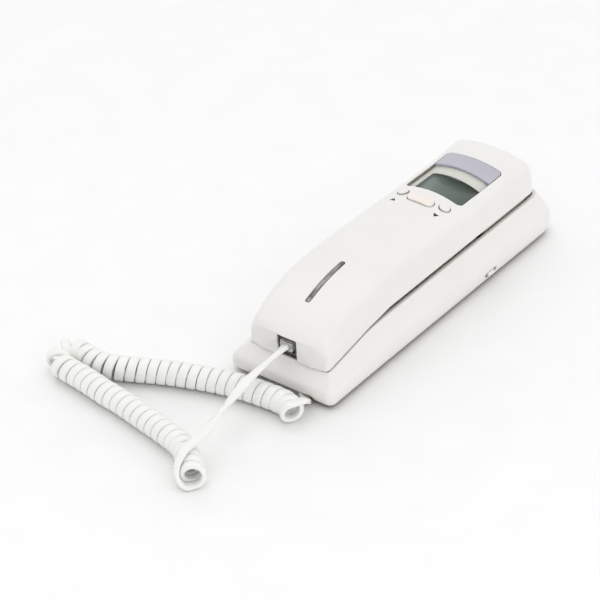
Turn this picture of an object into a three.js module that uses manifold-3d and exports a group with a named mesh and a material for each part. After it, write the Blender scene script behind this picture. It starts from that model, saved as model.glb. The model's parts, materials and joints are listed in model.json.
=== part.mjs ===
// Slimline corded telephone: a long cradle base, a handset with a caller display on its back
// and a keypad inside, and a curly cord between them.
// Millimetres. +Z is up, -Y is the cord end, +Y is the ear end. The origin is on the table,
// under the middle of the base.

import * as THREE from 'three';
import { mergeVertices } from 'three/addons/utils/BufferGeometryUtils.js';
import Module from 'manifold-3d';

const wasm = await Module();
wasm.setup();

// ---------------------------------------------------------------- driving dimensions

const gap = 0.3;              // clearance between neighbouring pieces
const wall = 2.2;             // moulded wall of both shells

const baseHalfWidth = 33;
const baseHalfLength = 106.5;
const baseBottom = 1.5;       // the base stands this high on its feet
const rimHigh = 24.2;         // rim beside the handset
const rimLow = 17;            // rim in front of the mouthpiece
const rimBevel = 7.6;         // how far the rim lies inside the widest outline
const frontCorner = 5;
const rearCorner = 13.5;

const handsetHalfWidth = 25;
const handsetFront = -99.3;   // corners of the cord end; its middle bows out by handsetBow
const handsetBow = 2.5;
const handsetRear = 97.5;
const handsetEdge = 27.5;     // lower edge of the back shell beside the finger gap
const handsetTop = 51;
const earRound = 14;          // radius of the ear end seen from the side

const faceHalfWidth = 22.3;
const faceLevel = 26.2;       // keypad surface
const faceRim = 28.8;         // the face shell reaches this high inside the back shell
const bulgeLevel = 14.5;      // lowest face of the mouthpiece and the earpiece
const wellClear = 0.6;        // air between the handset face and the cradle wells
const middleFloor = 19;       // cradle floor under the keypad
const liftGap = gap;          // the handset edge above the front rim

const mouthY = -82;           // microphone
const earY = 71.5;            // receiver
const cordJackX = 9;          // handset cord socket under the base
const lineJackX = -9;         // wall line socket beside it
const jackFaceY = -84;

const coilRadius = 6.8;
const leadRadius = 1.5;
const nearEnd = 0.41;         // shares of the coil's length where its solids are split
const bendEnd = 0.55;
const splitGap = 0.002;

// ---------------------------------------------------------------- colours

const white = { color: 0xf1f0ee, roughness: 0.35, metalness: 0 };
const cream = { color: 0xeee6dc, roughness: 0.4, metalness: 0 };
const silver = { color: 0xb6b6c0, roughness: 0.35, metalness: 0.6 };
const clear = { color: 0xc9cdca, roughness: 0.1, metalness: 0 };
const displayGreen = { color: 0x4a5a52, roughness: 0.2, metalness: 0 };
const rubber = { color: 0xdedad4, roughness: 0.8, metalness: 0 };
const black = { color: 0x2a2a2c, roughness: 0.6, metalness: 0 };
const boardGreen = { color: 0x3f6b4a, roughness: 0.5, metalness: 0 };
const steel = { color: 0x9a9ea3, roughness: 0.35, metalness: 1 };
const brass = { color: 0xb89a55, roughness: 0.3, metalness: 1 };

// ---------------------------------------------------------------- solids

// A manifold solid from a closed three.js geometry.
function solid(geometry) {
  const bare = geometry.clone();
  bare.deleteAttribute('normal');
  bare.deleteAttribute('uv');
  const merged = mergeVertices(bare, 1e-4);
  return new wasm.Manifold(new wasm.Mesh({
    numProp: 3,
    vertProperties: new Float32Array(merged.getAttribute('position').array),
    triVerts: new Uint32Array(merged.getIndex().array),
  }));
}

function geometryOf(body) {
  const mesh = body.getMesh();
  const geometry = new THREE.BufferGeometry();
  geometry.setAttribute('position', new THREE.BufferAttribute(mesh.vertProperties, 3));
  geometry.setIndex(new THREE.BufferAttribute(mesh.triVerts, 1));
  geometry.computeVertexNormals();
  return geometry;
}

// A named mesh from a manifold solid.
function piece(name, body, look) {
  const mesh = new THREE.Mesh(geometryOf(body), new THREE.MeshStandardMaterial(look));
  mesh.name = name;
  return mesh;
}

// A box from its lowest corner to its highest one.
function block(low, high) {
  const size = high.map((value, axis) => value - low[axis]);
  const geometry = new THREE.BoxGeometry(...size);
  geometry.translate(...low.map((value, axis) => value + size[axis] / 2));
  return solid(geometry);
}

// An upright round post standing on z.
function post(radius, height, x, y, z, sides = 16) {
  const geometry = new THREE.CylinderGeometry(radius, radius, height, sides);
  geometry.rotateX(Math.PI / 2);
  geometry.translate(x, y, z + height / 2);
  return solid(geometry);
}

// A rounded rectangle, centred on the origin.
function roundedShape(width, length, radius) {
  const x = width / 2;
  const y = length / 2;
  const shape = new THREE.Shape();
  shape.moveTo(x - radius, -y);
  shape.absarc(x - radius, -y + radius, radius, -Math.PI / 2, 0);
  shape.absarc(x - radius, y - radius, radius, 0, Math.PI / 2);
  shape.absarc(-x + radius, y - radius, radius, Math.PI / 2, Math.PI);
  shape.absarc(-x + radius, -y + radius, radius, Math.PI, Math.PI * 1.5);
  shape.closePath();
  return shape;
}

// An upright prism with a rounded rectangular plan.
function tablet(width, length, radius, x, y, low, high, curveSegments = 3) {
  const geometry = new THREE.ExtrudeGeometry(roundedShape(width, length, radius), {
    depth: high - low,
    bevelEnabled: false,
    curveSegments,
  });
  geometry.translate(x, y, low);
  return solid(geometry);
}

// A prism across the phone, from an outline of [y, z] points.
function crossPrism(outline, halfWidth) {
  const shape = new THREE.Shape(outline.map(([y, z]) => new THREE.Vector2(y, z)));
  const geometry = new THREE.ExtrudeGeometry(shape, { depth: 2 * halfWidth, bevelEnabled: false });
  geometry.rotateX(Math.PI / 2);
  geometry.rotateZ(Math.PI / 2);
  geometry.translate(-halfWidth, 0, 0);
  return solid(geometry);
}

// A closed body through rings of points: a cylinder whose rings are moved to the given ones.
// The rings turn anticlockwise seen from the first one.
function loft(rings) {
  const sides = rings[0].length;
  const geometry = new THREE.CylinderGeometry(1, 1, 1, sides, rings.length - 1);
  const place = geometry.getAttribute('position');
  const point = new THREE.Vector3();
  for (let i = 0; i < place.count; i += 1) {
    point.fromBufferAttribute(place, i);
    const ring = rings[Math.round((0.5 - point.y) * (rings.length - 1))];
    const turn = Math.atan2(point.x, point.z) / (2 * Math.PI);
    const onAxis = Math.hypot(point.x, point.z) < 0.5;
    const side = (Math.round(turn * sides) + sides) % sides;
    const target = onAxis ? middleOf(ring) : ring[side];
    place.setXYZ(i, target.x, target.y, target.z);
  }
  return solid(geometry);
}

function middleOf(ring) {
  const middle = new THREE.Vector3();
  ring.forEach((point) => middle.add(point));
  return middle.divideScalar(ring.length);
}

// The height at y on straight lines between [y, z] points.
function profile(points) {
  return (y) => {
    const last = points.length - 1;
    if (y <= points[0][0]) return points[0][1];
    if (y >= points[last][0]) return points[last][1];
    const after = points.findIndex((point) => point[0] > y);
    const [y0, z0] = points[after - 1];
    const [y1, z1] = points[after];
    return z0 + (z1 - z0) * (y - y0) / (y1 - y0);
  };
}

// How far a rounded corner pulls the side in, at a distance from the end of the body.
function cornerPull(distance, radius) {
  const inside = Math.max(radius - distance, 0);
  return radius - Math.sqrt(Math.max(radius * radius - inside * inside, 0));
}

// ---------------------------------------------------------------- handset outline

// Height of the handset back along its middle.
const backHeight = profile([
  [-102, 30], [-99.5, 33.2], [-92, 38.6], [-82.6, 43], [-72, 46.9], [-62, 48.9],
  [-50, 50.1], [-28, handsetTop], [5, handsetTop], [40, 50.4], [83, 49.4],
]);

// How far the edges of the back lie below its middle.
const backCrown = profile([[-70, 0.6], [-40, 3], [0, 4.8], [30, 6.3], [60, 6.3], [84, 4]]);

// One cross-section of a long body: a crowned top, round shoulders, sides that widen down to
// a height, and a flat bottom with round corners. It starts at the middle of the top.
function section({
  y, halfWidth, high, low, crown, shoulder, flare, widestAt, corner, bow = 0,
}) {
  const half = [];
  const crownSteps = 4;
  const roundSteps = 4;
  const top = halfWidth - flare - shoulder;
  const crownAt = (x) => crown * (x / halfWidth) ** 2;
  for (let i = 0; i < crownSteps; i += 1) {
    const x = top * i / crownSteps;
    half.push([x, high - crownAt(x)]);
  }
  for (let i = 0; i <= roundSteps; i += 1) {
    const angle = Math.PI / 2 * i / roundSteps;
    const x = top + shoulder * Math.sin(angle);
    half.push([x, high - crownAt(x) - shoulder * (1 - Math.cos(angle))]);
  }
  half.push([halfWidth, widestAt]);
  for (let i = 0; i <= 2; i += 1) {
    const angle = Math.PI / 2 * i / 2;
    const x = halfWidth - corner * (1 - Math.cos(angle));
    half.push([x, low + corner * (1 - Math.sin(angle))]);
  }
  half.push([halfWidth / 3, low]);
  const mirrored = half.slice(1).reverse().map(([x, z]) => [-x, z]);
  return [...half, ...mirrored].map(([x, z]) => {
    const forward = bow * (1 - (x / halfWidth) ** 2);
    return new THREE.Vector3(x, y - forward, z);
  });
}

const handsetStations = [
  97.5, 96.8, 95, 92.5, 89, 84, 78, 70, 60, 50, 40, 30, 18, 5, -12, -28, -40, -50,
  -56, -62, -67, -72, -77, -82.6, -87, -92, -95.5, -97.5, -98.8, -99.3,
];

// The whole handset as one body, pulled in by an inset all over.
function handsetForm(inset) {
  const middle = (handsetRear + handsetFront) / 2;
  const half = (handsetRear - handsetFront) / 2;
  const shrink = (half - inset) / half;
  const rings = handsetStations.map((station) => {
    const fromRear = handsetRear - station;
    const fromFront = station - handsetFront;
    const drop = fromRear < earRound ? cornerPull(fromRear, earRound) : 0;
    const width = handsetHalfWidth
      - cornerPull(fromRear + 0.4, 10) - cornerPull(fromFront + 0.4, 3.5);
    const frontFade = Math.max(0, 1 - fromFront / 25);
    return section({
      y: middle + (station - middle) * shrink,
      halfWidth: width - inset,
      high: Math.max(backHeight(station) - drop, 34) - inset,
      low: 8,
      crown: backCrown(station),
      shoulder: 4.5,
      flare: 1.6,
      widestAt: handsetEdge,
      corner: 1,
      bow: handsetBow * frontFade,
    });
  });
  return loft(rings);
}

// Lower edge of the back shell: just above the front rim, then rising clear of the base.
const edgeLine = [
  [-120, rimLow + liftGap], [-99, rimLow + liftGap], [-62, rimHigh + liftGap],
  [-55, 25.7], [-43, handsetEdge], [120, handsetEdge],
];

// Lowest surface of the face shell: mouthpiece bulge, keypad surface, earpiece bulge.
const faceLine = profile([
  [-96.6, 19], [-95.6, 16.5], [-92, bulgeLevel], [-68, bulgeLevel], [-60, 18.5],
  [-52, faceLevel], [43, faceLevel], [47, 24], [53, 17], [57, bulgeLevel],
  [86, bulgeLevel], [92, 17], [93.5, 21],
]);

// Top of the face shell inside the back shell: lower where the front slopes down.
const faceTopLine = profile([[-90, 25.4], [-80, faceRim]]);

const faceStations = [
  93.5, 92, 86, 70, 57, 53, 47, 43, 0, -52, -60, -68, -80, -92, -95.6, -96.6,
];

const faceFront = -96.6;
const faceRear = 93.5;

// The face shell's solid form, pulled in by an inset and raised by a height.
function faceForm(inset, raise) {
  const middle = (faceRear + faceFront) / 2;
  const half = (faceRear - faceFront) / 2;
  const shrink = (half - inset) / half;
  const rings = faceStations.map((station) => {
    const high = faceTopLine(station) + raise;
    const low = faceLine(station) + inset;
    return section({
      y: middle + (station - middle) * shrink,
      halfWidth: faceHalfWidth - inset
        - cornerPull(faceRear - station + 1, 9) - cornerPull(station - faceFront + 1, 4),
      high,
      low,
      crown: 0,
      shoulder: 0.5,
      flare: 0,
      widestAt: high - 0.3 * (high - low),
      corner: Math.min(2.5, 0.4 * (high - low)),
    });
  });
  return loft(rings);
}

// ---------------------------------------------------------------- base outline

const rimLine = profile([
  [-99, rimLow], [-88, 19], [-76, 21.4], [-66, 23.3], [-60, rimHigh - 0.1], [-54, rimHigh],
]);

const sideStations = [-88, -76, -66, -60, -54, -20, 30, 70];

// A level outline of the base, pulled in by an inset, at a share of the height to the rim.
function baseRing(inset, share) {
  const x = baseHalfWidth - inset;
  const y = baseHalfLength - inset;
  const height = (along) => baseBottom + share * (rimLine(along) - baseBottom);
  const at = (px, py) => new THREE.Vector3(px, py, height(py));
  const corner = (cx, cy, radius, start) => {
    const steps = 5;
    return Array.from({ length: steps + 1 }, (_, i) => {
      const angle = start + Math.PI / 2 * i / steps;
      return at(cx + radius * Math.cos(angle), cy + radius * Math.sin(angle));
    });
  };
  const rear = Math.max(rearCorner - inset, 1);
  const front = Math.max(frontCorner - inset, 1);
  return [
    ...sideStations.map((along) => at(x, along)),
    ...corner(x - rear, y - rear, rear, 0),
    ...corner(-x + rear, y - rear, rear, Math.PI / 2),
    ...sideStations.toReversed().map((along) => at(-x, along)),
    ...corner(-x + front, -y + front, front, Math.PI),
    ...corner(x - front, -y + front, front, Math.PI * 1.5),
  ];
}

// Side of the base from the rim down: [share of the height, distance inside the widest line].
const baseSide = [
  [1, rimBevel], [0.93, 6.9], [0.82, 5], [0.7, 3], [0.6, 1.4], [0.5, 0.5], [0.35, 0],
  [0.2, 0.2], [0.08, 1], [0, 2.5],
];

function baseForm(inset) {
  const flat = baseRing(rimBevel + inset + 3, 1);
  const rings = baseSide.map(([share, pull]) => baseRing(pull + inset, share));
  return loft([flat, ...rings]);
}

// Floor of the cradle: two wells that follow the handset face, and the floor between them.
function cradleWell(grow) {
  const outline = [
    [-97.2 - grow, 60], [-97.2 - grow, 17.5 - grow], [-94, bulgeLevel - wellClear - grow],
    [-67, bulgeLevel - wellClear - grow], [-60, middleFloor - 1 - grow],
    [-56, middleFloor - grow], [45, middleFloor - grow], [50, middleFloor - 1.5 - grow],
    [55, bulgeLevel - wellClear - grow], [88, bulgeLevel - wellClear - grow],
    [96.6 + grow, 18 - grow], [96.6 + grow, 60],
  ];
  const width = 2 * (faceHalfWidth + wellClear + grow);
  const length = 193.8 + 2 * grow;
  const plan = tablet(width, length, 4 + grow, 0, -0.3, 0, 60, 4);
  return crossPrism(outline, width / 2).intersect(plan);
}

// ---------------------------------------------------------------- base pieces

const screwSpots = [[-17, -50], [17, -50], [-17, 50], [17, 50]];
const frontFoot = { x: 24.5, y: -90, radius: 2.9 };   // beside the cord recess
const rearFoot = { x: 20, y: 84, radius: 5 };
const feet = [frontFoot, rearFoot].flatMap(({ x, y, radius }) => [
  { x: -x, y, radius },
  { x, y, radius },
]);
const footSeat = 0.7;         // how deep a foot stands in the cover
const keyholeSpots = [[0, -30], [0, 53]];
const hookSpot = [12, 76];
const knob = { y: 40, z: 6.2, length: 5, halfHeight: 1.3, travel: 2.5, inner: 22.2, neck: 30.6 };
const archHalfWidth = 20;
const archHeight = 4.5;
const coverTop = 3.9;

// The cradle shell: outer form, hollow below with four screw bosses, wells above, and an arch
// for the cords in front.
function cradleShell() {
  let hollow = baseForm(wall).subtract(cradleWell(wall));
  screwSpots.forEach(([x, y]) => {
    hollow = hollow.subtract(post(3.5, 30, x, y, coverTop + gap, 16));
    hollow = hollow.add(post(1.35, 8, x, y, coverTop, 10));
  });
  const knobSlot = block(
    [20, knob.y - knob.travel - knob.length / 2 - gap, knob.z - knob.halfHeight - gap],
    [40, knob.y + knob.travel + knob.length / 2 + gap, knob.z + knob.halfHeight + gap],
  );
  const arch = block([-archHalfWidth, -120, -1], [archHalfWidth, -90, archHeight]);
  return baseForm(0)
    .subtract(cradleWell(0))
    .subtract(hollow)
    .subtract(knobSlot)
    .subtract(arch)
    .subtract(post(3.5 + gap, 30, ...hookSpot, 5));
}

// The bottom cover: plate, cord recess, screw holes and two wall keyholes.
function bottomCover() {
  const recessRoof = 10.3;
  const skin = 1.1;
  const recessFront = -103;
  const tunnel = block(
    [-archHalfWidth - skin, recessFront, baseBottom],
    [archHalfWidth + skin, jackFaceY + 12, recessRoof + skin],
  );
  const recess = block(
    [-archHalfWidth, recessFront - 5, -1],
    [archHalfWidth, jackFaceY + 12.6, recessRoof],
  );
  const keyhole = (y) => post(4.2, 6, 0, y, -1, 16)
    .add(tablet(4, 9, 1.9, 0, y + 5, -1, 5));
  const plate = block([-40, -110, 0], [40, 110, coverTop]);
  let cover = plate.add(tunnel).intersect(baseForm(wall + gap)).subtract(recess);
  keyholeSpots.forEach(([, y]) => {
    cover = cover.subtract(keyhole(y));
  });
  screwSpots.forEach(([x, y]) => {
    cover = cover.subtract(post(1.6, 10, x, y, -1, 12));
    cover = cover.subtract(post(3.4, 2.1, x, y, baseBottom - 0.5, 12));
  });
  feet.forEach(({ x, y, radius }) => {
    cover = cover.subtract(post(radius + gap, footSeat + gap + 1, x, y, baseBottom - 1, 16));
  });
  return cover;
}

// A stick-on rubber foot that stands in its shallow seat.
function foot({ x, y, radius }) {
  return post(radius, baseBottom + footSeat, x, y, 0, 16);
}

// A pan-head screw, head down, driven upwards from z.
function screw(x, y, z, length) {
  const shaft = post(1.2, length, x, y, z + 0.8, 10);
  const head = post(2.7, 1, x, y, z, 12);
  const cross = block([x - 1.6, y - 0.3, z - 1], [x + 1.6, y + 0.3, z + 0.4]);
  return head.add(shaft).subtract(cross);
}

// The hook plunger, held down by the handset: a stem with a stop flange under the floor.
function hookPlunger() {
  const [x, y] = hookSpot;
  const top = bulgeLevel - gap;
  const flange = post(5, 1, x, y, 5.4, 16);
  return post(3.5, top - 5.4, x, y, 5.4, 16).add(flange);
}

// The springy contact strip under the plunger, on its own small block.
function hookContact() {
  const [x, y] = hookSpot;
  const strip = block([x - 2, y - 4, 4.6], [x + 2, y + 14, 5.1]);
  const rest = block([x - 4, y + 8, coverTop + 0.1], [x + 4, y + 14, 8.5]);
  return strip.add(rest);
}

function baseBoard() {
  const board = block([-22, -40, 8.8], [22, 44, 10.4]);
  const relay = block([-14, -20, 10.3], [-4, -6, 15.5]);
  const capacitor = post(4, 6, 10, -12, 10.3, 12);
  const switchBody = block([16, 36, 5.6], [21.8, 44, 8.9]);
  return board.add(relay).add(capacitor).add(switchBody);
}

// The piezo ringer: a thin drum with a sound hole.
function ringer() {
  return post(13, 4, 0, 26, coverTop + 0.3, 24)
    .subtract(post(2, 3, 0, 26, coverTop + 2, 10));
}

// The ringer volume knob, on the right side of the base.
function ringerKnob() {
  const { y, z, inner, neck, halfHeight } = knob;
  const half = knob.length / 2;
  const stem = block([inner, y - 1.5, z - 1], [neck + 0.4, y + 1.5, z + 1]);
  const cap = block([neck, y - half, z - halfHeight], [baseHalfWidth, y + half, z + halfHeight]);
  return stem.add(cap);
}

// A modular socket that opens towards -Y.
function modularJack(x, faceY, low, width, height, depth, plugWidth, plugHeight) {
  const body = block([x - width / 2, faceY, low], [x + width / 2, faceY + depth, low + height]);
  const middle = low + height / 2;
  const mouth = block(
    [x - plugWidth / 2, faceY - 1, middle - plugHeight / 2],
    [x + plugWidth / 2, faceY + depth - 1.5, middle + plugHeight / 2],
  );
  return body.subtract(mouth);
}

function baseWeight() {
  return block([-20, -68, coverTop + 0.3], [20, -54, coverTop + 4.3]);
}

// ---------------------------------------------------------------- handset pieces

const backKeyY = 20;
const setKeyLength = 15.6;
const roundKeyX = 13.3;
const roundKeyY = 23;
const lampLength = 33;
const lampWidth = 2.8;
const lampY = -66.6;
const windowHalfWidth = 17.7;
const windowRear = 72;
const windowFront = 31;
const bandFront = 59;
const handsetJackZ = 24.6;
const faceBossTop = 24;       // where the screw bosses of the two handset shells meet
const handsetScrewSpots = [[-15, -76], [15, -76]];

// Layer of the back between two depths below its surface.
function backLayer(from, to) {
  return handsetForm(from).subtract(handsetForm(to));
}

// Straight prism seen from above, tall enough to cut right through the back.
function overBack(width, length, radius, x, y, segments = 3) {
  return tablet(width, length, radius, x, y, 36, 60, segments);
}

const displayY = (windowRear + windowFront) / 2;
const displayLength = windowRear - windowFront;

function backShell() {
  const under = crossPrism([[-120, -5], ...edgeLine, [120, -5]], 40);
  const jackHole = block([-6, -110, 10], [6, -95, 30.6]);
  let hollow = handsetForm(wall);
  handsetScrewSpots.forEach(([x, y]) => {
    hollow = hollow.subtract(post(3.2, 30, x, y, faceBossTop, 16));
    hollow = hollow.add(post(1.35, 16, x, y, faceBossTop - 1, 10));
  });
  return handsetForm(0)
    .subtract(hollow)
    .subtract(under)
    .subtract(jackHole)
    .subtract(overBack(2 * windowHalfWidth, displayLength, 2.5, 0, displayY))
    .subtract(overBack(lampWidth, lampLength, lampWidth / 2 - 0.05, 0, lampY))
    .subtract(overBack(setKeyLength + 2 * gap, 6.6, 3.2, 0, backKeyY))
    .subtract(overBack(6.2, 6.2, 3, -roundKeyX, roundKeyY))
    .subtract(overBack(6.2, 6.2, 3, roundKeyX, roundKeyY));
}

// A key on the handset back: a cap that follows the back and stands proud of it.
function backKey(width, length, x, y) {
  return backLayer(-1, 4)
    .intersect(overBack(width, length, length / 2 - 0.1, x, y));
}

// The display panel that fills its opening, between two stations along the handset.
function displayPanel(depth, front, rear) {
  const panel = overBack(2 * (windowHalfWidth - gap), displayLength - 2 * gap, 2.2, 0, displayY);
  return backLayer(depth, 1.8)
    .intersect(panel)
    .intersect(block([-30, front, 0], [30, rear, 80]));
}

const lcdTop = 44.4;

function lcdFrame() {
  const frame = block([-17.2, 31.5, 39], [17.2, 60, lcdTop]);
  const seat = block([-16.5, 32.2, lcdTop - 1.6], [16.5, 55.8, lcdTop + 1]);
  return frame.subtract(seat);
}

function lcdGlass() {
  return block([-16.2, 32.5, lcdTop - 1.3], [16.2, 55.5, lcdTop - 0.1]);
}

function displayBoard() {
  return block([-17.5, 14, 36.9], [17.5, 62, 38.5]);
}

function lampLens() {
  return backLayer(0.2, 2.4).intersect(
    overBack(lampWidth - 2 * gap, lampLength - 2 * gap, lampWidth / 2 - gap - 0.05, 0, lampY),
  );
}

function lampLed() {
  return post(1.5, 4, 0, lampY, 38, 12);
}

// The keypad: digits in four rows, and a row of three function keys nearer the cord. A row is
// named from left to right as the keypad is read, from below, so its first key has the highest x.
const keyPitchX = 12.4;
const keyPitchY = 13.5;
const keySize = [10, 7.6];
const keypadRows = [
  { y: 27, names: ['key_1', 'key_2', 'key_3'] },
  { y: 27 - keyPitchY, names: ['key_4', 'key_5', 'key_6'] },
  { y: 27 - 2 * keyPitchY, names: ['key_7', 'key_8', 'key_9'] },
  { y: 27 - 3 * keyPitchY, names: ['key_star', 'key_0', 'key_hash'] },
  { y: 27 - 4.2 * keyPitchY, names: ['key_mute', 'key_flash', 'key_redial'] },
];

// Every dial key as { name, x, y }.
const dialKeys = keypadRows.flatMap(({ y, names }) => names.map((name, column) => (
  { name, x: (1 - column) * keyPitchX, y }
)));

function dialKey({ x, y }) {
  const cap = tablet(keySize[0], keySize[1], 2.5, x, y, faceLevel - 1.6, 30.2, 2);
  const finger = tablet(keySize[0] - 1.4, keySize[1] - 1.4, 2, x, y, faceLevel - 2, 28, 2);
  return cap.add(finger);
}

// The face shell: a tray with its two bulges, key holes, sound holes and screw bosses.
function faceShell() {
  let hollow = faceForm(2, 9);
  handsetScrewSpots.forEach(([x, y]) => {
    hollow = hollow.subtract(post(4.2, faceBossTop - gap, x, y, 0, 16));
  });
  let shell = faceForm(0, 0).subtract(hollow);
  dialKeys.forEach(({ x, y }) => {
    shell = shell.subtract(tablet(keySize[0] + 0.6, keySize[1] + 0.6, 2.8, x, y, 20, 29, 2));
  });
  const holeRing = 4;
  const holes = 6;
  for (let i = 0; i < holes; i += 1) {
    const angle = 2 * Math.PI * i / holes;
    const x = holeRing * Math.cos(angle);
    const y = earY + holeRing * Math.sin(angle);
    shell = shell.subtract(post(0.9, 5, x, y, 13, 8));
  }
  shell = shell.subtract(post(0.9, 5, 0, earY, 13, 8));
  shell = shell.subtract(block([-2.5, mouthY - 0.6, 13], [2.5, mouthY + 0.6, 18]));
  shell = shell.subtract(block([-6.3, -110, 18.4], [6.3, -90, 40]));
  handsetScrewSpots.forEach(([x, y]) => {
    shell = shell.subtract(post(1.5, 20, x, y, 10, 10));
    shell = shell.subtract(post(3, 5, x, y, 12, 12));
  });
  return shell;
}

function keypadMat() {
  let mat = block([-18.6, -40, 28.6], [18.6, 38, 29.8]);
  dialKeys.forEach(({ x, y }) => {
    mat = mat.subtract(block(
      [x - keySize[0] / 2 - gap, y - keySize[1] / 2 - gap, 28],
      [x + keySize[0] / 2 + gap, y + keySize[1] / 2 + gap, 31],
    ));
  });
  return mat;
}

function mainBoard() {
  const board = block([-20, -48, 31.3], [20, 44, 32.9]);
  const chip = block([-7, -10, 32.8], [7, 4, 34.6]);
  const capacitor = post(3, 7, 12, -30, 32.8, 12);
  return board.add(chip).add(capacitor);
}

function receiver() {
  const front = post(13, 5.5, 0, earY, 17, 24);
  const magnet = post(8, 4, 0, earY, 22, 16);
  return front.add(magnet);
}

function microphone() {
  return post(4.9, 6.5, 0, mouthY, 17, 16);
}

function handsetWeight() {
  return block([-14, -66, 31.3], [14, -54, 37.5]);
}

// ---------------------------------------------------------------- cord

// A clear modular plug, its nose towards +Y, with the latch under it.
function modularPlug(x, tailY, low, height) {
  const width = 7.6;
  const body = block([x - width / 2, tailY, low], [x + width / 2, tailY + 11.5, low + height]);
  const latch = block([x - 1.6, tailY + 2, low - 1.2], [x + 1.6, tailY + 10, low + 0.2]);
  return body.add(latch);
}

// The flat lead from the handset to the top of the coil's near end.
const leadPoints = [
  [0, -102.2, 25.6], [-1.8, -112.6, 22.6], [-3.6, -124, 19.4], [-3.4, -134, 17.6],
  [-2.3, -145, 16.6], [-0.7, -155, 16], [1.5, -168, 15.6], [3.5, -177, 15.5], [4.2, -182.5, 15.5],
];

// Middle line of the coil on the table: towards the left, round a sharp bend, and back.
const coilRoute = [
  [13.6, -198.2], [4.6, -189.3], [-6.7, -181], [-21, -176.6], [-37, -173], [-53, -169.6],
  [-68, -167.2], [-82, -164.4], [-93.5, -162.8], [-101.5, -160.6], [-105.6, -154.6],
  [-102.6, -148.8], [-96.3, -147.4], [-87.7, -148.8], [-78.1, -147.6], [-69, -143.9],
  [-58.5, -138.5], [-48.6, -133.8], [-36.9, -129.4], [-25.6, -125.8], [-13.5, -124.2],
  [1.2, -125.6], [12, -126.4], [21.2, -124.6],
].map(([x, y]) => new THREE.Vector3(x, y, coilRadius));

// The cord's end, from the back of the last turn, under the base, to its plug.
const tailPoints = [
  [15.6, -116.6, 8.8], [15, -111, 4.2], [13.6, -106.5, 2.1], [11, -102, 2.4],
  [9.4, -99, 4.4], [9, -96.3, 5.6],
];

// A round tube along a smooth curve.
function tube(curve, radius, sides, steps) {
  const outline = Array.from({ length: sides }, (_, i) => {
    const angle = 2 * Math.PI * (i + 0.5) / sides;
    return new THREE.Vector2(radius * Math.cos(angle), radius * Math.sin(angle));
  });
  return solid(new THREE.ExtrudeGeometry(new THREE.Shape(outline), {
    extrudePath: curve,
    steps,
    bevelEnabled: false,
  }));
}

function smooth(points) {
  return new THREE.CatmullRomCurve3(points.map((point) => new THREE.Vector3(...point)));
}

// A stretch of the coil between two shares of its length.
function coilStretch(from, to) {
  const route = new THREE.CatmullRomCurve3(coilRoute);
  const count = 16;
  const points = Array.from({ length: count + 1 }, (_, i) => (
    route.getPointAt(from + (to - from) * i / count)
  ));
  return tube(new THREE.CatmullRomCurve3(points), coilRadius, 12, count);
}

// ---------------------------------------------------------------- assembly

function buildBase() {
  const base = new THREE.Group();
  base.add(piece('cradle_shell', cradleShell(), white));
  base.add(piece('bottom_cover', bottomCover(), white));
  base.add(piece('hook_plunger', hookPlunger(), white));
  base.add(piece('hook_contact', hookContact(), brass));
  base.add(piece('base_circuit_board', baseBoard(), boardGreen));
  base.add(piece('ringer_disc', ringer(), black));
  base.add(piece('ringer_knob', ringerKnob(), cream));
  base.add(piece('base_weight', baseWeight(), steel));
  base.add(piece(
    'base_cord_jack',
    modularJack(cordJackX, jackFaceY, 1.8, 11.2, 8.2, 11.5, 8.2, 6.4),
    black,
  ));
  base.add(piece(
    'line_jack',
    modularJack(lineJackX, jackFaceY, 1.8, 13.2, 8.2, 11.5, 10, 6.8),
    black,
  ));
  feet.forEach((spot, i) => {
    base.add(piece(`foot_${i + 1}`, foot(spot), rubber));
  });
  screwSpots.forEach(([x, y], i) => {
    base.add(piece(`base_screw_${i + 1}`, screw(x, y, 1.7, 7.5), steel));
  });
  return base;
}

function buildHandset() {
  const handset = new THREE.Group();
  handset.add(piece('back_shell', backShell(), white));
  handset.add(piece('face_shell', faceShell(), white));
  handset.add(piece('display_band', displayPanel(0.1, bandFront + gap / 2, 90), silver));
  handset.add(piece('display_window', displayPanel(0.15, 0, bandFront - gap / 2), clear));
  handset.add(piece('lcd_frame', lcdFrame(), cream));
  handset.add(piece('lcd_glass', lcdGlass(), displayGreen));
  handset.add(piece('display_board', displayBoard(), boardGreen));
  handset.add(piece('lamp_lens', lampLens(), clear));
  handset.add(piece('lamp_led', lampLed(), clear));
  handset.add(piece('up_key', backKey(5.6, 5.6, -roundKeyX, roundKeyY), white));
  handset.add(piece('set_key', backKey(setKeyLength, 6, 0, backKeyY), cream));
  handset.add(piece('down_key', backKey(5.6, 5.6, roundKeyX, roundKeyY), white));
  dialKeys.forEach((key) => {
    handset.add(piece(key.name, dialKey(key), cream));
  });
  handset.add(piece('keypad_mat', keypadMat(), rubber));
  handset.add(piece('main_board', mainBoard(), boardGreen));
  handset.add(piece('receiver', receiver(), black));
  handset.add(piece('microphone', microphone(), black));
  handset.add(piece('handset_weight', handsetWeight(), steel));
  handset.add(piece(
    'handset_jack',
    modularJack(0, -99.2, handsetJackZ - 5, 11.2, 10, 11.5, 8.2, 7.4),
    black,
  ));
  handsetScrewSpots.forEach(([x, y], i) => {
    handset.add(piece(`handset_screw_${i + 1}`, screw(x, y, 15.6, 14), steel));
  });
  return handset;
}

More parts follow.
